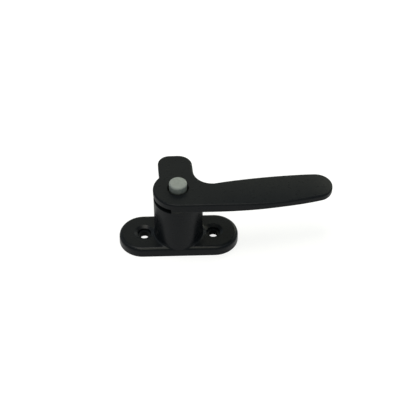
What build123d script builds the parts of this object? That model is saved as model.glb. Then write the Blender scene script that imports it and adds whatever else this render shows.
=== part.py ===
"""Push-button window handle: a cam lever that turns on a post moulded in one with its base plate.

Millimetres. The origin is the centre of the base's underside, +X runs along the base towards
the grip, +Y towards the cam nose and +Z up, along the lever's axis.
"""

import os
from math import radians, tan

from build123d import *

os.makedirs("parts", exist_ok=True)

# Base plate and its screws
plate_thickness = 5.4
plate_margin = 0.15
plate_end = 13.05
plate_draft = 1.5
plate_edge_radius = 2.0
plate_wall = 2.2
plate_roof = 2.0
screw_hole_radius = 2.4
screw_head_radius = 3.6
screw_head_depth = 2.3
screw_rim_radius = 5.2
screw_rim_depth = 1.0
screw_land = 0.3
boss_wall = 1.4
rib_thickness = 1.6

# Post, with the bore that the lever turns in
post_height = 31.2
post_wall = 2.9
post_rim_break = 0.4
post_foot_radius = 1.4
chamber_height = 11.5
chamber_room = 0.55
gallery_step = 2.05

# Stop between the post and the lever
stop_start = 143.0
stop_lug_angle = 20.0
stop_play_angle = 0.6
lever_swing = 90.0
stop_slot_depth = 1.3
stop_slot_rise = 1.6
stop_lug_step = 0.5
stop_lug_inset = 0.3

# Lever seen from above: hub, nose and grip
hub_overhang = 0.15
lever_thickness = 5.0
nose_reach = 24.9
nose_left = 10.45
nose_right = 7.1
nose_lean = 3.6
nose_left_radius = 6.0
nose_right_radius = 7.2
nose_root_radius = 1.2
nose_ramp_height = 1.4
nose_ramp_width = 6.0
throat_radius = 10.0
throat_x = 18.3
throat_y = 3.35
grip_reach = 77.8
grip_front_straight = 34.0
grip_back_mid_y = 7.4
tip_front_inset = 5.0
tip_front_y = 7.45
tip_y = 0.9
tip_back_inset = 5.0
tip_back_y = 9.1
tip_front_radius = 8.0
tip_back_radius = 8.0
tip_crown = 0.6
tip_crown_length = 16.0
grip_tip_thickness = 3.5
scoop_start = 20.0
scoop_end = 56.0
lever_top_radius = 0.9
lever_under_radius = 0.35

# Lever spigot, which runs down the bore
spigot_wall = 1.6
spigot_end = 7.2
groove_depth = 0.85

# Push button
button_radius = 4.55
button_travel = 3.0
button_proud = 0.75
button_top_radius = 0.5
button_gap = 0.85
hub_roof = 4.2
guide_step = 1.3
guide_length = 7.0
stem_radius = 3.0
stem_room = 1.6
stem_chamfer = 0.5

# Lock pin through the button
pin_radius = 1.25
pin_drop = 5.2
pin_chamfer = 0.25

# Button spring and its seat
wire_radius = 0.45
coil_turns = 3.5
seat_length = 3.0

# Washer, disc spring and retaining ring under the bore's shoulder
washer_thickness = 0.5
washer_rim = 1.5
disc_thickness = 0.4
disc_rise = 0.35
ring_thickness = 1.0
ring_width = 2.0
ring_mouth_angle = 46.0
ear_radius = 1.3
ear_hole_radius = 0.5

# Fits
running_clearance = 0.05
rim_play = 0.05
pin_clearance = 0.08
free_clearance = 0.4

# Radii that follow, from the button outwards
button_bore_radius = button_radius + button_gap
guide_radius = button_radius + guide_step
guide_bore_radius = guide_radius + running_clearance
spigot_radius = guide_bore_radius + spigot_wall
groove_radius = spigot_radius - groove_depth
bore_radius = spigot_radius + running_clearance
washer_inner = spigot_radius + running_clearance
washer_outer = washer_inner + washer_rim
ring_radius = groove_radius + ring_width
chamber_radius = washer_outer + chamber_room
gallery_radius = bore_radius + gallery_step
pin_half_length = gallery_radius - free_clearance
spring_radius = guide_bore_radius - free_clearance - wire_radius
post_radius = gallery_radius + post_wall
hub_radius = post_radius + hub_overhang
stop_lug_inner = gallery_radius + stop_lug_step
stop_lug_outer = post_radius - post_rim_break - stop_lug_inset

# Base sizes that follow
screw_spacing = 2 * (post_radius + screw_land + screw_rim_radius)
screw_boss_radius = screw_rim_radius + boss_wall
base_length = screw_spacing + 2 * plate_end
base_width = 2 * (post_radius + plate_margin)

# Heights that follow
lever_underside = post_height + rim_play
lever_top = lever_underside + lever_thickness
tip_underside = lever_top - grip_tip_thickness
button_top = lever_top + button_travel + button_proud
guide_top = lever_top - hub_roof - rim_play
guide_bottom = guide_top - guide_length
stem_end = button_travel + stem_room
pin_height = guide_top - pin_drop
gallery_floor = pin_height - pin_radius - button_travel - free_clearance
stop_slot_floor = post_height - stop_slot_depth
stop_lug_top = lever_underside + stop_slot_rise - free_clearance
washer_top = chamber_height - rim_play
disc_top = washer_top - washer_thickness
ring_top = disc_top - disc_thickness - disc_rise
ring_bottom = ring_top - ring_thickness
seat_top = spigot_end + seat_length

# Places and angles that follow
lug_start = stop_start + stop_play_angle
lug_sweep = stop_lug_angle - 2 * stop_play_angle
slot_sweep = stop_lug_angle + lever_swing
nose_slope = tan(radians(nose_lean))
tip_front_x = grip_reach - tip_front_inset
tip_back_x = grip_reach - tip_back_inset
grip_back_mid_x = (throat_x + tip_back_x) / 2


# Shape of one screw hole, cut twice out of the base: counterbored, with a coned rim that clears the foot
with BuildPart() as screw_hole:
    with BuildSketch(Plane.XZ):
        with BuildLine():
            Polyline(
                (0, 0),
                (screw_hole_radius, 0),
                (screw_hole_radius, plate_thickness - screw_head_depth),
                (screw_head_radius, plate_thickness - screw_head_depth),
                (screw_head_radius, plate_thickness - screw_rim_depth),
                (screw_rim_radius, plate_thickness),
                (screw_rim_radius, plate_thickness + post_foot_radius),
                (0, plate_thickness + post_foot_radius),
                close=True,
            )
        make_face()
    revolve(axis=Axis.Z)


# Base: plate, screw seats and hollow post in one moulding
with BuildPart() as base:
    with BuildSketch():
        SlotOverall(base_length, base_width)
    extrude(amount=plate_thickness, taper=plate_draft)
    fillet(base.faces().sort_by(Axis.Z)[-1].edges(), plate_edge_radius)

    with BuildSketch():
        Circle(post_radius)
    extrude(amount=post_height)
    rim_edge = base.faces().sort_by(Axis.Z)[-1].edges()
    chamfer(rim_edge, post_rim_break)

    # Round the foot where the post stands on the plate and its rounded edge
    post_side = base.faces().filter_by(GeomType.CYLINDER).sort_by(SortBy.AREA)[-1]
    foot_edges = post_side.edges().filter_by(lambda edge: edge.center().Z < post_height / 2)
    fillet(foot_edges, post_foot_radius)

    # Slot in the rim that the stop works in, and the lug that stands on its floor
    with BuildSketch(Plane.XY.offset(stop_slot_floor)):
        with BuildLine():
            slot_outside = CenterArc((0, 0), hub_radius, stop_start, slot_sweep)
            slot_inside = CenterArc((0, 0), bore_radius, stop_start, slot_sweep)
            Line(slot_outside @ 0, slot_inside @ 0)
            Line(slot_outside @ 1, slot_inside @ 1)
        make_face()
    extrude(amount=stop_slot_depth, mode=Mode.SUBTRACT)
    with BuildSketch(Plane.XY.offset(stop_slot_floor)):
        with BuildLine():
            lug_outside = CenterArc((0, 0), stop_lug_outer, lug_start, lug_sweep)
            lug_inside = CenterArc((0, 0), stop_lug_inner, lug_start, lug_sweep)
            Line(lug_outside @ 0, lug_inside @ 0)
            Line(lug_outside @ 1, lug_inside @ 1)
        make_face()
    extrude(amount=stop_lug_top - stop_slot_floor)

    # Bearing bore, with a chamber for the retaining ring below and a gallery for the lock pin above
    with BuildSketch():
        Circle(bore_radius)
    extrude(amount=post_height, mode=Mode.SUBTRACT)
    with BuildSketch():
        Circle(chamber_radius)
    extrude(amount=chamber_height, mode=Mode.SUBTRACT)
    with BuildSketch(Plane.XY.offset(gallery_floor)):
        Circle(gallery_radius)
    extrude(amount=post_height - gallery_floor, mode=Mode.SUBTRACT)

    # Cored underside, leaving the side walls, the post's ring, the screw bosses and a rib along each end
    with BuildSketch():
        SlotOverall(base_length - 2 * plate_wall, base_width - 2 * plate_wall)
        Circle(chamber_radius + plate_wall, mode=Mode.SUBTRACT)
        with GridLocations(screw_spacing, 0, 2, 1):
            Circle(screw_boss_radius, mode=Mode.SUBTRACT)
        Rectangle(base_length, rib_thickness, mode=Mode.SUBTRACT)
    extrude(amount=plate_thickness - plate_roof, mode=Mode.SUBTRACT)

    # Screw holes
    with GridLocations(screw_spacing, 0, 2, 1):
        add(screw_hole.part, mode=Mode.SUBTRACT)
base.part.label = "base"
export_step(base.part, "parts/base.step")


# Lever: hub, cam nose, grip and spigot in one moulding
with BuildPart() as lever:
    with BuildSketch(Plane.XY.offset(lever_underside)) as outline:
        with BuildLine():
            hub = CenterArc((0, 0), hub_radius, 90, 180, mode=Mode.PRIVATE)
            front = Line((0, -hub_radius), (grip_front_straight, -hub_radius))
            bow = TangentArc(front @ 1, (tip_front_x, -tip_front_y), tangent=front % 1)
            tip = ThreePointArc(bow @ 1, (grip_reach, tip_y), (tip_back_x, tip_back_y))
            back = ThreePointArc(tip @ 1, (grip_back_mid_x, grip_back_mid_y), (throat_x, throat_y))
            throat = Line(back @ 1, (nose_right + nose_slope * (nose_reach - throat_y), throat_y))
            nose_side = Line(throat @ 1, (nose_right, nose_reach))
            nose_end = Line(nose_side @ 1, (-nose_left, nose_reach))
            nose_far = IntersectingLine(nose_end @ 1, (nose_slope, -1), hub)
            ThreePointArc(nose_far @ 1, (-hub_radius, 0), front @ 0)
        make_face()
        fillet(outline.vertices().sort_by_distance(bow @ 1)[0], tip_front_radius)
        fillet(outline.vertices().sort_by_distance(tip @ 1)[0], tip_back_radius)
        fillet(outline.vertices().sort_by_distance(throat @ 1)[0], throat_radius)
        fillet(outline.vertices().sort_by_distance(nose_side @ 1)[0], nose_right_radius)
        fillet(outline.vertices().sort_by_distance(nose_end @ 1)[0], nose_left_radius)
        fillet(outline.vertices().sort_by_distance(nose_far @ 1)[0], nose_root_radius)
    extrude(amount=lever_thickness)

    # Top that falls away over the end of the grip
    with BuildSketch(Plane.XZ):
        with BuildLine():
            flat = (grip_reach - tip_crown_length, lever_top)
            fall = TangentArc(flat, (grip_reach, lever_top - tip_crown), tangent=(1, 0))
            shelf = Line(fall @ 1, (grip_reach + tip_crown_length, lever_top - tip_crown))
            riser = Line(shelf @ 1, (grip_reach + tip_crown_length, lever_top))
            Line(riser @ 1, flat)
        make_face()
    extrude(amount=2 * hub_radius, both=True, mode=Mode.SUBTRACT)

    # Finger scoop that thins the grip from below
    with BuildSketch(Plane.XZ):
        with BuildLine():
            rise = Spline(
                (scoop_start, lever_underside),
                (scoop_end, tip_underside),
                tangents=((1, 0), (1, 0)),
            )
            level = Line(rise @ 1, (grip_reach + hub_radius, tip_underside))
            drop = Line(level @ 1, (grip_reach + hub_radius, lever_underside))
            Line(drop @ 1, rise @ 0)
        make_face()
    extrude(amount=2 * hub_radius, both=True, mode=Mode.SUBTRACT)

    # Rounded edges, more above than below
    grip_middle = tip_underside + rim_play
    outer_edges = lever.edges().filter_by(Axis.Y, reverse=True)
    fillet(outer_edges.filter_by(lambda edge: edge.bounding_box().min.Z > grip_middle), lever_top_radius)
    outer_edges = lever.edges().filter_by(Axis.Y, reverse=True)
    fillet(outer_edges.filter_by(lambda edge: edge.bounding_box().max.Z < grip_middle), lever_under_radius)

    # Slot in the hub's underside that the stop lug travels along
    with BuildSketch(Plane.XY.offset(lever_underside)):
        with BuildLine():
            track_outside = CenterArc((0, 0), hub_radius + hub_overhang, stop_start, slot_sweep)
            track_inside = CenterArc((0, 0), gallery_radius, stop_start, slot_sweep)
            Line(track_outside @ 0, track_inside @ 0)
            Line(track_outside @ 1, track_inside @ 1)
        make_face()
    extrude(amount=stop_slot_rise, mode=Mode.SUBTRACT)

    # Spigot with its groove for the retaining ring
    with BuildSketch(Plane.XY.offset(spigot_end)):
        Circle(spigot_radius)
    extrude(amount=lever_underside - spigot_end)
    with BuildSketch(Plane.XY.offset(ring_bottom)):
        Circle(spigot_radius)
        Circle(groove_radius, mode=Mode.SUBTRACT)
    extrude(amount=ring_thickness, mode=Mode.SUBTRACT)

    # Bore for the button's guide, and the smaller bore that its head comes out of
    with BuildSketch(Plane.XY.offset(spigot_end)):
        Circle(guide_bore_radius)
    extrude(amount=lever_top - hub_roof - spigot_end, mode=Mode.SUBTRACT)
    with BuildSketch(Plane.XY.offset(spigot_end)):
        Circle(button_bore_radius)
    extrude(amount=lever_top - spigot_end, mode=Mode.SUBTRACT)

    # Slots that let the lock pin slide through the spigot's wall
    with BuildSketch(Plane.YZ):
        with Locations((0, pin_height - button_travel / 2)):
            SlotOverall(
                button_travel + 2 * (pin_radius + pin_clearance),
                2 * (pin_radius + pin_clearance),
                rotation=90,
            )
    extrude(amount=spigot_radius + free_clearance, both=True, mode=Mode.SUBTRACT)

    # Ramp under the nose's leading side, which draws the window in as the lever closes
    with BuildSketch(Plane.XZ.offset(-hub_radius)):
        with BuildLine():
            Polyline(
                (-nose_left, lever_underside),
                (-nose_left + nose_ramp_width, lever_underside),
                (-nose_left, lever_underside + nose_ramp_height),
                close=True,
            )
        make_face()
    extrude(amount=-nose_reach, mode=Mode.SUBTRACT)
lever.part.label = "lever"
export_step(lever.part, "parts/lever.step")


# Push button: head, guide and stem turned as one moulding
with BuildPart() as push_button:
    with BuildSketch(Plane.XZ):
        with BuildLine():
            Polyline(
                (0, stem_end),
                (stem_radius - stem_chamfer, stem_end),
                (stem_radius, stem_end + stem_chamfer),
                (stem_radius, guide_bottom),
                (guide_radius, guide_bottom),
                (guide_radius, guide_top),
                (button_radius, guide_top),
                (button_radius, button_top),
                (0, button_top),
                close=True,
            )
        make_face()
    revolve(axis=Axis.Z)
    fillet(push_button.faces().sort_by(Axis.Z)[-1].edges(), button_top_radius)
    with BuildSketch(Plane.YZ):
        with Locations((0, pin_height)):
            Circle(pin_radius)
    extrude(amount=guide_radius, both=True, mode=Mode.SUBTRACT)
push_button.part.label = "push_button"
export_step(push_button.part, "parts/push_button.step")


# Lock pin, pressed across the button's guide
with BuildPart() as lock_pin:
    with BuildSketch(Plane.YZ):
        with Locations((0, pin_height)):
            Circle(pin_radius)
    extrude(amount=pin_half_length, both=True)
    chamfer(lock_pin.edges().filter_by(GeomType.CIRCLE), pin_chamfer)
lock_pin.part.label = "lock_pin"
export_step(lock_pin.part, "parts/lock_pin.step")


# Button spring, coiled round the stem between its seat and the guide
coil_start = seat_top + wire_radius
coil_height = guide_bottom - wire_radius - coil_start
with BuildPart() as button_spring:
    with BuildLine() as coil:
        Helix(coil_height / coil_turns, coil_height, spring_radius, center=(0, 0, coil_start))
    with BuildSketch(Plane(origin=coil.line @ 0, z_dir=coil.line % 0)):
        Circle(wire_radius)
    sweep(path=coil.line)
button_spring.part.label = "button_spring"
export_step(button_spring.part, "parts/button_spring.step")


# Spring seat, a bush pressed into the end of the spigot that also guides the stem
with BuildPart() as spring_seat:
    with BuildSketch(Plane.XY.offset(spigot_end)):
        Circle(guide_bore_radius)
        Circle(stem_radius + running_clearance, mode=Mode.SUBTRACT)
    extrude(amount=seat_length)
spring_seat.part.label = "spring_seat"
export_step(spring_seat.part, "parts/spring_seat.step")


# Thrust washer under the bore's shoulder
with BuildPart() as thrust_washer:
    with BuildSketch(Plane.XY.offset(disc_top)):
        Circle(washer_outer)
        Circle(washer_inner, mode=Mode.SUBTRACT)
    extrude(amount=washer_thickness)
thrust_washer.part.label = "thrust_washer"
export_step(thrust_washer.part, "parts/thrust_washer.step")


# Disc spring, a shallow cone whose inner edge presses the washer up
with BuildPart() as disc_spring:
    with BuildSketch(Plane.XZ):
        with BuildLine():
            Polyline(
                (washer_inner, disc_top),
                (washer_inner, disc_top - disc_thickness),
                (ring_radius, ring_top),
                (ring_radius, ring_top + disc_thickness),
                close=True,
            )
        make_face()
    revolve(axis=Axis.Z)
disc_spring.part.label = "disc_spring"
export_step(disc_spring.part, "parts/disc_spring.step")


# Retaining ring, snapped into the spigot's groove
ear_circle = groove_radius + ring_width / 2
with BuildPart() as retaining_ring:
    with BuildSketch(Plane.XY.offset(ring_bottom)):
        Circle(ring_radius)
        Circle(groove_radius, mode=Mode.SUBTRACT)
        with BuildLine():
            mouth = CenterArc((0, 0), 2 * chamber_radius, -ring_mouth_angle / 2, ring_mouth_angle)
            Line((0, 0), mouth @ 0)
            Line(mouth @ 1, (0, 0))
        make_face(mode=Mode.SUBTRACT)
        with PolarLocations(ear_circle, 2, -ring_mouth_angle / 2, ring_mouth_angle, endpoint=True):
            Circle(ear_radius)
        with PolarLocations(ear_circle, 2, -ring_mouth_angle / 2, ring_mouth_angle, endpoint=True):
            Circle(ear_hole_radius, mode=Mode.SUBTRACT)
        Circle(groove_radius, mode=Mode.SUBTRACT)
    extrude(amount=ring_thickness)
retaining_ring.part.label = "retaining_ring"
export_step(retaining_ring.part, "parts/retaining_ring.step")
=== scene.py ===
"""Looks of the push-button window handle: satin black mouldings, a grey button and small steel parts."""

from math import cos, hypot, radians, sin

import bmesh
import bpy
from mathutils import Matrix, Vector


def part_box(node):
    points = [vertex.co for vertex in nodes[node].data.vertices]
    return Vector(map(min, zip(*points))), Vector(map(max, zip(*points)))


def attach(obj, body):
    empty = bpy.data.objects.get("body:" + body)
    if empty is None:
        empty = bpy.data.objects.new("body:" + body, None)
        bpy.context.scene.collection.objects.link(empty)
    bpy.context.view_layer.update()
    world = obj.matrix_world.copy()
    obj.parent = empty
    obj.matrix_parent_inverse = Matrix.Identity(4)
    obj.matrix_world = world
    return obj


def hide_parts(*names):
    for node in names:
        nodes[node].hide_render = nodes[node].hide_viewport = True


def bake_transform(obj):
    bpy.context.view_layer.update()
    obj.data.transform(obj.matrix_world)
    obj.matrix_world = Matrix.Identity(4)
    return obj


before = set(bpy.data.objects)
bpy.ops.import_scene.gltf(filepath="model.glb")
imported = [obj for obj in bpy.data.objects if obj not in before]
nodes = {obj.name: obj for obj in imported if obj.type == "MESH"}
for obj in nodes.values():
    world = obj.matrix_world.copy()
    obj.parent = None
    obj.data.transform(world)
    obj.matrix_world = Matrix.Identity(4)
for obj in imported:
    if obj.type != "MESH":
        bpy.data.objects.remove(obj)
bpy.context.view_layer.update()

MM = 0.001

# Camera, as fitted to the photograph: angles in degrees, lengths in millimetres
CAMERA_AZIMUTH = -2.9
CAMERA_ELEVATION = 44.4
CAMERA_ROLL = 0.77
CAMERA_DISTANCE = 500.0
CAMERA_SIDE = -15.33
CAMERA_RISE = -15.94
PIXELS_PER_MM = 1.9
IMAGE_PIXELS = 416
SENSOR_WIDTH = 36.0

# Edge of the button's top, in millimetres: its place and size in the CAD, how many times larger it is in the
# photograph, and the margin for finding its points
BUTTON_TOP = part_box("push_button")[1][2] / MM
BUTTON_RADIUS = 4.55
BUTTON_EDGE = 0.5
BUTTON_EDGE_GROWTH = 2.0
NEAR = 0.02

# Crown across the lever's grip, in millimetres: its radius, its middle line, how far from that line the top
# keeps its height, where along the lever it comes in, how far down it reaches, and the step for its slope
CROWN_RADIUS = 125.0
CROWN_MIDDLE = -2.5
CROWN_HALF_WIDTH = 9.0
CROWN_RUN_IN = (8.0, 30.0)
CROWN_DEPTH = 4.5
SLOPE_STEP = 0.01

# Cuts that let the lever's top bend, in millimetres, the least rise of a cut face's normal, and the distance
# within which points count as one
CUTS_ACROSS = [0.8 * step for step in range(-16, 18)]
CUTS_ALONG = [2.0 * step for step in range(4, 16)]
CUT_FACES_RISE = 0.9
WELD = 0.0001

# Floor, in metres: how white it glows near and far, where it fades, and what share is left behind the handle
FLOOR_SIZE = 8.0
FLOOR_DROP = 0.05 * MM
FLOOR_GREY = 0.34
FLOOR_GLOW = 0.77
FLOOR_GLOW_FAR = 0.2
FLOOR_FADE = (0.25, 0.6)
FLOOR_BACK = (-0.01, 0.03)
FLOOR_BACK_SHARE = 0.25

# Room. Each panel: its direction, the dot products at its faint edge and its full middle, its strength
ROOM_STRENGTH = 0.3
ROOM_COLOUR = (0.86, 1.0, 1.1)
PANEL_COLOUR = (1.0, 1.0, 0.80)
PANELS = (
    ((-0.08, 0.862, 0.5), (0.88, 0.985), 1.02),
    ((0.43, 0.75, 0.50), (0.98, 0.997), 7.5),
    ((0.653, 0.238, 0.719), (0.95, 0.99), 2.0),
    ((-0.03, -0.64, 0.77), (0.93, 0.975), 1.8),
)

# Lamp, in metres and watts
LAMP_POWER = 2.95
LAMP_COLOUR = (1.0, 0.96, 0.89)
LAMP_WIDTH = 0.38
LAMP_DEPTH = 0.48
LAMP_PLACE = (-0.1, -0.04, 0.78)
LAMP_TARGET = (0.02, 0.0, 0.02)

# Detail of the finishes: sizes and depths in millimetres, and the range that most noise values lie in
NOISE_RANGE = (0.3, 0.7)
BUMP_STRENGTH = 0.25
FLOW_SIZE = 9.0
FLOW_DETAIL = 3.0
SMUDGE_SIZE = 3.0
SMUDGE_DETAIL = 4.0
SMUDGE_ROUGH = 0.6
SMUDGE_GLOSS = (-0.05, 0.05)
GRAIN_DETAIL = 2.0
LINE_SIZE = 0.4
LINE_DETAIL = 3.0
LINE_DEPTH = 0.01
LINE_GLOSS = (-0.08, 0.1)

# Coat on rounded upper edges: the range of the normal's rise that it lies in, and its weight at the middle
EDGE_RISE = (0.6, 0.97)
EDGE_COAT = 0.37

# Painted shade down the button's side: two depths below its top, in millimetres, and the share of the
# colour that is left at the first, which is the lower
FOOT_SHADE = (((3.8, 0.7), 0.66), ((4.3, 3.1), 0.2))


def feed(tree, socket, value):
    """Gives an input the output of another node, or a constant."""
    if isinstance(value, bpy.types.NodeSocket):
        tree.links.new(value, socket)
    else:
        socket.default_value = value


def maths(tree, operation, first, second):
    """The result of a maths node whose inputs are outputs of other nodes or constants."""
    node = tree.nodes.new("ShaderNodeMath")
    node.operation = operation
    feed(tree, node.inputs[0], first)
    feed(tree, node.inputs[1], second)
    return node.outputs[0]


def map_range(tree, value, before, after):
    """Maps one range of values to another and holds its ends."""
    node = tree.nodes.new("ShaderNodeMapRange")
    for name, limit in zip(("From Min", "From Max", "To Min", "To Max"), (*before, *after)):
        node.inputs[name].default_value = limit
    tree.links.new(value, node.inputs["Value"])
    return node.outputs["Result"]


def mixed(tree, share, first, second):
    """A mix of two colours, by a share from 0 to 1."""
    node = tree.nodes.new("ShaderNodeMix")
    node.data_type = "RGBA"
    feed(tree, node.inputs["Factor"], share)
    feed(tree, node.inputs["A"], first)
    feed(tree, node.inputs["B"], second)
    return node.outputs["Result"]


def parts_of(tree, vector):
    """The x, y and z of a vector."""
    node = tree.nodes.new("ShaderNodeSeparateXYZ")
    tree.links.new(vector, node.inputs["Vector"])
    return node.outputs["X"], node.outputs["Y"], node.outputs["Z"]


def noise(tree, place, size, detail, rough=0.5):
    """Noise whose features are about size millimetres across."""
    node = tree.nodes.new("ShaderNodeTexNoise")
    node.inputs["Scale"].default_value = 1.0 / (size * MM)
    node.inputs["Detail"].default_value = detail
    node.inputs["Roughness"].default_value = rough
    tree.links.new(place, node.inputs["Vector"])
    return node.outputs["Fac"]


def new_material(name):
    """An empty node material, with its nodes, its Principled shader and the place on the object."""
    material = bpy.data.materials.new(name)
    material.use_nodes = True
    tree = material.node_tree
    place = tree.nodes.new("ShaderNodeTexCoord").outputs["Object"]
    return material, tree, tree.nodes["Principled BSDF"], place


def uneven_gloss(tree, shader, pattern, roughness, swing):
    """Lets the roughness swing about its mean with a pattern of noise."""
    gloss = map_range(tree, pattern, NOISE_RANGE, [roughness + change for change in swing])
    tree.links.new(gloss, shader.inputs["Roughness"])


def fine_relief(tree, shader, pattern, depth):
    """Relief too fine for the mesh, such as moulded grain, depth millimetres deep."""
    bump = tree.nodes.new("ShaderNodeBump")
    bump.inputs["Strength"].default_value = BUMP_STRENGTH
    bump.inputs["Distance"].default_value = depth * MM
    tree.links.new(pattern, bump.inputs["Height"])
    tree.links.new(bump.outputs["Normal"], shader.inputs["Normal"])


def edge_coat(tree):
    """The weight of a thin coat on rounded upper edges, which shine more than the flats do."""
    surface = tree.nodes.new("ShaderNodeNewGeometry")
    rise = parts_of(tree, surface.outputs["Normal"])[2]
    middle = sum(EDGE_RISE) / 2
    half = EDGE_RISE[1] - middle
    off = maths(tree, "ABSOLUTE", maths(tree, "SUBTRACT", rise, middle), 0.0)
    near = maths(tree, "MAXIMUM", maths(tree, "SUBTRACT", 1.0, maths(tree, "MULTIPLY", off, 1.0 / half)), 0.0)
    return maths(tree, "MULTIPLY", near, EDGE_COAT)


def shaded_foot(tree, place, colour):
    """A colour that darkens down the button's side, in place of the shade of the gap round its foot."""
    height = parts_of(tree, place)[2]
    for depths, share in FOOT_SHADE:
        heights = [(BUTTON_TOP - depth) * MM for depth in depths]
        dimmed = tree.nodes.new("ShaderNodeVectorMath")
        dimmed.operation = "SCALE"
        tree.links.new(colour, dimmed.inputs[0])
        tree.links.new(map_range(tree, height, heights, (share, 1.0)), dimmed.inputs["Scale"])
        colour = dimmed.outputs["Vector"]
    return colour


def moulded_plastic(
    name, dark, light, roughness, specular, grain_size, grain_depth,
    flow_size=FLOW_SIZE, polished=False, shaded=False,
):
    """Moulded plastic with a fine spark-eroded grain, faint flow marks and uneven gloss."""
    material, tree, shader, place = new_material(name)
    shader.inputs["Specular IOR Level"].default_value = specular

    flow = map_range(tree, noise(tree, place, flow_size, FLOW_DETAIL), NOISE_RANGE, (0.0, 1.0))
    colour = mixed(tree, flow, (*dark, 1.0), (*light, 1.0))
    if shaded:
        colour = shaded_foot(tree, place, colour)
    tree.links.new(colour, shader.inputs["Base Color"])

    smudge = noise(tree, place, SMUDGE_SIZE, SMUDGE_DETAIL, SMUDGE_ROUGH)
    uneven_gloss(tree, shader, smudge, roughness, SMUDGE_GLOSS)
    fine_relief(tree, shader, noise(tree, place, grain_size, GRAIN_DETAIL), grain_depth)
    if polished:
        shader.inputs["Coat Roughness"].default_value = roughness
        tree.links.new(edge_coat(tree), shader.inputs["Coat Weight"])
    return material


def satin_black(name, polished=False):
    """Black of the base and the lever."""
    return moulded_plastic(
        name, dark=(0.0070, 0.0084, 0.0100), light=(0.0084, 0.0099, 0.0116), roughness=0.3, specular=0.092,
        grain_size=0.22, grain_depth=0.02, polished=polished,
    )


def button_grey():
    """Dull mottled grey of the button."""
    return moulded_plastic(
        "button_grey", dark=(0.200, 0.219, 0.207), light=(0.243, 0.265, 0.251), roughness=0.55, specular=0.3,
        grain_size=0.18, grain_depth=0.015, flow_size=1.3, shaded=True,
    )


def acetal(name, dark, light):
    """Smooth plastic of the small inner parts."""
    return moulded_plastic(
        name, dark, light, roughness=0.4, specular=0.4, grain_size=0.2, grain_depth=0.01,
    )


def drawn_steel(name, colour, roughness, stretch):
    """Steel with fine lines that run along one axis."""
    material, tree, shader, place = new_material(name)
    shader.inputs["Metallic"].default_value = 1.0
    shader.inputs["Base Color"].default_value = (*colour, 1.0)
    squeeze = tree.nodes.new("ShaderNodeMapping")
    squeeze.inputs["Scale"].default_value = stretch
    tree.links.new(place, squeeze.inputs["Vector"])
    lines = noise(tree, squeeze.outputs["Vector"], LINE_SIZE, LINE_DETAIL)
    uneven_gloss(tree, shader, lines, roughness, LINE_GLOSS)
    fine_relief(tree, shader, lines, LINE_DEPTH)
    return material


def finish_nodes():
    """Gives every CAD node its finish."""
    pin_steel = drawn_steel("pin_steel", (0.55, 0.55, 0.56), roughness=0.28, stretch=(0.1, 1.0, 1.0))
    spring_steel = drawn_steel("spring_steel", (0.42, 0.42, 0.43), roughness=0.32, stretch=(0.3, 0.3, 1.0))
    ring_steel = drawn_steel("ring_steel", (0.16, 0.16, 0.17), roughness=0.4, stretch=(1.0, 1.0, 0.2))
    finishes = {
        "base": satin_black("base_black", polished=True),
        "lever": satin_black("lever_black"),
        "push_button": button_grey(),
        "lock_pin": pin_steel,
        "button_spring": spring_steel,
        "spring_seat": acetal("seat_plastic", dark=(0.02, 0.02, 0.02), light=(0.026, 0.026, 0.026)),
        "thrust_washer": acetal("washer_plastic", dark=(0.7, 0.69, 0.65), light=(0.76, 0.75, 0.71)),
        "disc_spring": spring_steel,
        "retaining_ring": ring_steel,
    }
    for name, material in finishes.items():
        slots = nodes[name].data.materials
        slots.clear()
        slots.append(material)


def add_object(name, data):
    """A new object in the scene."""
    thing = bpy.data.objects.new(name, data)
    bpy.context.scene.collection.objects.link(thing)
    return thing


def corner_normals(mesh):
    """The normals at the corners of a mesh's faces."""
    return [corner.vector.copy() for corner in mesh.corner_normals]


def rounder_edge(x, y, z):
    """Where a point of the button goes when the edge of its top is rounder."""
    out = hypot(x, y)
    if z < BUTTON_TOP - BUTTON_EDGE - NEAR or out < BUTTON_RADIUS - BUTTON_EDGE - NEAR:
        return x, y, z
    scale = (BUTTON_RADIUS + BUTTON_EDGE_GROWTH * (out - BUTTON_RADIUS)) / out
    return x * scale, y * scale, BUTTON_TOP + BUTTON_EDGE_GROWTH * (z - BUTTON_TOP)


def rounder_button():
    """A copy of the button whose top has a rounder edge. A larger rounding has the same normals."""
    mesh = nodes["push_button"].data.copy()
    normals = corner_normals(mesh)
    for vertex in mesh.vertices:
        vertex.co = Vector(rounder_edge(*(vertex.co / MM))) * MM
    mesh.normals_split_custom_set(normals)
    button = add_object("button_moulding", mesh)
    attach(button, "button")
    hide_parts("push_button")


def crown_rise(point, top):
    """How far the crown raises a point of the lever, in millimetres."""
    start, end = CROWN_RUN_IN
    share = min(max((point.x - start) / (end - start), 0.0), 1.0)
    on_grip = share * share * (3.0 - 2.0 * share)
    near_top = min(max(1.0 - (top - point.z) / CROWN_DEPTH, 0.0), 1.0)
    return on_grip * near_top * (CROWN_HALF_WIDTH**2 - (point.y - CROWN_MIDDLE) ** 2) / (2.0 * CROWN_RADIUS)


def crown_slope(point, top):
    """How the crown's rise changes along x, y and z."""
    steps = Matrix.Identity(3) * SLOPE_STEP
    changes = [crown_rise(point + step, top) - crown_rise(point - step, top) for step in steps]
    return Vector(changes) / (2.0 * SLOPE_STEP)


def keep_normals(shape, normals):
    """A layer of the shape's corners that carries their normals through the cuts."""
    kept = shape.loops.layers.float_vector.new("kept_normal")
    for face in shape.faces:
        for corner in face.loops:
            corner[kept] = normals[corner.index]
    return kept


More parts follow.
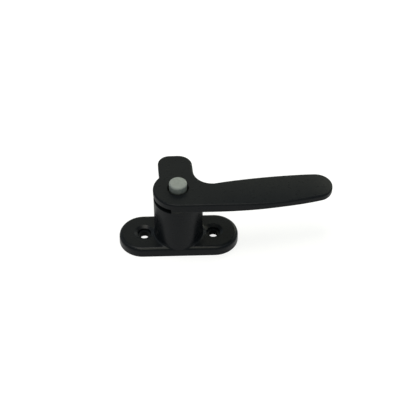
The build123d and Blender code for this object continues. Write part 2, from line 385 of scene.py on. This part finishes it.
def cut_top(shape, top):
    """Cuts the lever's upper faces into strips that can follow the crown."""
    cuts = [((0.0, y * MM, 0.0), (0.0, 1.0, 0.0)) for y in CUTS_ACROSS]
    cuts += [((x * MM, 0.0, 0.0), (1.0, 0.0, 0.0)) for x in CUTS_ALONG]
    for place, direction in cuts:
        upper = [
            face for face in shape.faces
            if face.normal.z > CUT_FACES_RISE and face.calc_center_median().z > (top - CROWN_DEPTH) * MM
        ]
        parts = dict.fromkeys(part for face in upper for part in (face, *face.edges, *face.verts))
        bmesh.ops.bisect_plane(shape, geom=list(parts), dist=WELD * MM, plane_co=place, plane_no=direction)
    bmesh.ops.triangulate(shape, faces=[face for face in shape.faces if len(face.verts) > 3])


def crowned_normals(shape, kept, top):
    """The normals at all corners of the lever, tilted as the crown tilts its surface."""
    normals = []
    for face in shape.faces:
        for corner in face.loops:
            slope = crown_slope(corner.vert.co / MM, top)
            normal = corner[kept].normalized()
            normals.append((normal - slope * (normal.z / (1.0 + slope.z))).normalized())
    return normals


def crowned_lever():
    """A copy of the lever whose grip has a slight crown: its middle is raised and its edges are kept."""
    mesh = nodes["lever"].data.copy()
    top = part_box("lever")[1][2] / MM
    shape = bmesh.new()
    shape.from_mesh(mesh)
    kept = keep_normals(shape, corner_normals(mesh))
    bmesh.ops.remove_doubles(shape, verts=shape.verts, dist=WELD * MM)
    cut_top(shape, top)
    normals = crowned_normals(shape, kept, top)
    for vertex in shape.verts:
        vertex.co.z += crown_rise(vertex.co / MM, top) * MM
    shape.loops.layers.float_vector.remove(kept)
    shape.to_mesh(mesh)
    shape.free()
    mesh.normals_split_custom_set(normals)
    lever = add_object("lever_moulding", mesh)
    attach(lever, "lever")
    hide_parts("lever")


def compressing_spring():
    """A copy of the coil between the lever and the button, with its place baked into its mesh."""
    coil = add_object("button_coil", nodes["button_spring"].data.copy())
    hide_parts("button_spring")
    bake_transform(coil)


def under_base(tree, x, y):
    """A value of 1 on the floor that the base covers, which is a rectangle with a half circle at each end."""
    half_length, end_radius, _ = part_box("base")[1]
    past_end = maths(tree, "SUBTRACT", maths(tree, "ABSOLUTE", x, 0.0), half_length - end_radius)
    along = maths(tree, "MAXIMUM", past_end, 0.0)
    square = maths(tree, "ADD", maths(tree, "MULTIPLY", along, along), maths(tree, "MULTIPLY", y, y))
    return maths(tree, "LESS_THAN", square, end_radius**2)


def floor_glow(tree, position):
    """How strongly the floor glows white, by the kind of ray that sees it.

    The camera sees it evenly. Reflections see it fade with distance, weaker behind the handle, and dark under
    the base, where its shadow lies.
    """
    path = tree.nodes.new("ShaderNodeLightPath")
    distance = tree.nodes.new("ShaderNodeVectorMath")
    distance.operation = "LENGTH"
    tree.links.new(position, distance.inputs[0])
    fade = map_range(tree, distance.outputs["Value"], FLOOR_FADE, (FLOOR_GLOW, FLOOR_GLOW_FAR))
    x, y, _ = parts_of(tree, position)
    behind = map_range(tree, y, FLOOR_BACK, (1.0, FLOOR_BACK_SHARE))
    in_the_open = maths(tree, "SUBTRACT", 1.0, under_base(tree, x, y))
    share = maths(tree, "MULTIPLY", behind, in_the_open)
    reflected = maths(tree, "MAXIMUM", path.outputs["Is Glossy Ray"], path.outputs["Is Transmission Ray"])
    in_reflections = maths(tree, "MULTIPLY", reflected, maths(tree, "MULTIPLY", fade, share))
    to_camera = maths(tree, "MULTIPLY", path.outputs["Is Camera Ray"], FLOOR_GLOW)
    return maths(tree, "MAXIMUM", to_camera, in_reflections)


def floor_white():
    """A matt surface that glows white, keeps the handle's shadow and is clear from underneath."""
    material = bpy.data.materials.new("floor_white")
    material.use_nodes = True
    tree = material.node_tree
    tree.nodes.clear()
    surface = tree.nodes.new("ShaderNodeNewGeometry")
    matt = tree.nodes.new("ShaderNodeBsdfDiffuse")
    matt.inputs["Color"].default_value = (FLOOR_GREY, FLOOR_GREY, FLOOR_GREY, 1.0)
    glow = tree.nodes.new("ShaderNodeEmission")
    tree.links.new(floor_glow(tree, surface.outputs["Position"]), glow.inputs["Strength"])
    both = tree.nodes.new("ShaderNodeAddShader")
    tree.links.new(matt.outputs[0], both.inputs[0])
    tree.links.new(glow.outputs[0], both.inputs[1])
    clear = tree.nodes.new("ShaderNodeBsdfTransparent")
    one_sided = tree.nodes.new("ShaderNodeMixShader")
    tree.links.new(surface.outputs["Backfacing"], one_sided.inputs["Fac"])
    tree.links.new(both.outputs[0], one_sided.inputs[1])
    tree.links.new(clear.outputs[0], one_sided.inputs[2])
    output = tree.nodes.new("ShaderNodeOutputMaterial")
    tree.links.new(one_sided.outputs[0], output.inputs["Surface"])
    return material


def white_floor():
    """A wide pale floor just under the handle."""
    half = FLOOR_SIZE / 2
    corners = [(x * half, y * half, -FLOOR_DROP) for x, y in ((-1, -1), (1, -1), (1, 1), (-1, 1))]
    mesh = bpy.data.meshes.new("floor")
    mesh.from_pydata(corners, [], [(0, 1, 2, 3)])
    mesh.materials.append(floor_white())
    floor = add_object("floor", mesh)


def brightened(colour, strength):
    """A colour at some strength, with full alpha."""
    return (*(strength * part for part in colour), 1.0)


def dim_room():
    """A dim room with four soft-edged panels: two behind the handle, one to its right and one in front."""
    world = bpy.data.worlds.new("studio")
    bpy.context.scene.world = world
    world.use_nodes = True
    tree = world.node_tree
    towards = tree.nodes.new("ShaderNodeTexCoord").outputs["Generated"]
    light = brightened(ROOM_COLOUR, ROOM_STRENGTH)
    for direction, edge, strength in PANELS:
        facing = tree.nodes.new("ShaderNodeVectorMath")
        facing.operation = "DOT_PRODUCT"
        tree.links.new(towards, facing.inputs[0])
        facing.inputs[1].default_value = Vector(direction).normalized()
        on_panel = map_range(tree, facing.outputs["Value"], edge, (0.0, 1.0))
        light = mixed(tree, on_panel, light, brightened(PANEL_COLOUR, strength))
    tree.links.new(light, tree.nodes["Background"].inputs["Color"])


def soft_lamp():
    """A broad lamp above the handle."""
    data = bpy.data.lights.new("top_lamp", "AREA")
    data.shape = "RECTANGLE"
    data.size = LAMP_WIDTH
    data.size_y = LAMP_DEPTH
    data.energy = LAMP_POWER
    data.color = LAMP_COLOUR
    lamp = add_object("top_lamp", data)
    lamp.location = LAMP_PLACE
    lamp.rotation_euler = (Vector(LAMP_TARGET) - Vector(LAMP_PLACE)).to_track_quat("-Z", "Y").to_euler()


def photo_camera():
    """The camera at the photograph's viewpoint."""
    azimuth = radians(CAMERA_AZIMUTH)
    elevation = radians(CAMERA_ELEVATION)
    roll = radians(CAMERA_ROLL)
    back = Vector((
        sin(azimuth) * cos(elevation),
        -cos(azimuth) * cos(elevation),
        sin(elevation),
    ))
    level_right = Vector((cos(azimuth), sin(azimuth), 0.0))
    level_up = back.cross(level_right)
    right = cos(roll) * level_right + sin(roll) * level_up
    up = cos(roll) * level_up - sin(roll) * level_right
    data = bpy.data.cameras.new("photo_camera")
    data.sensor_width = SENSOR_WIDTH
    data.lens = SENSOR_WIDTH * PIXELS_PER_MM * CAMERA_DISTANCE / IMAGE_PIXELS
    camera = add_object("photo_camera", data)
    place = (back * CAMERA_DISTANCE - right * CAMERA_SIDE - up * CAMERA_RISE) * MM
    turn = Matrix((right, up, back)).transposed()
    camera.matrix_world = Matrix.LocRotScale(place, turn.to_quaternion(), None)
    bpy.context.scene.camera = camera


finish_nodes()
rounder_button()
crowned_lever()
compressing_spring()
white_floor()
dim_room()
soft_lamp()
photo_camera()
bpy.context.scene.view_settings.view_transform = "Standard"
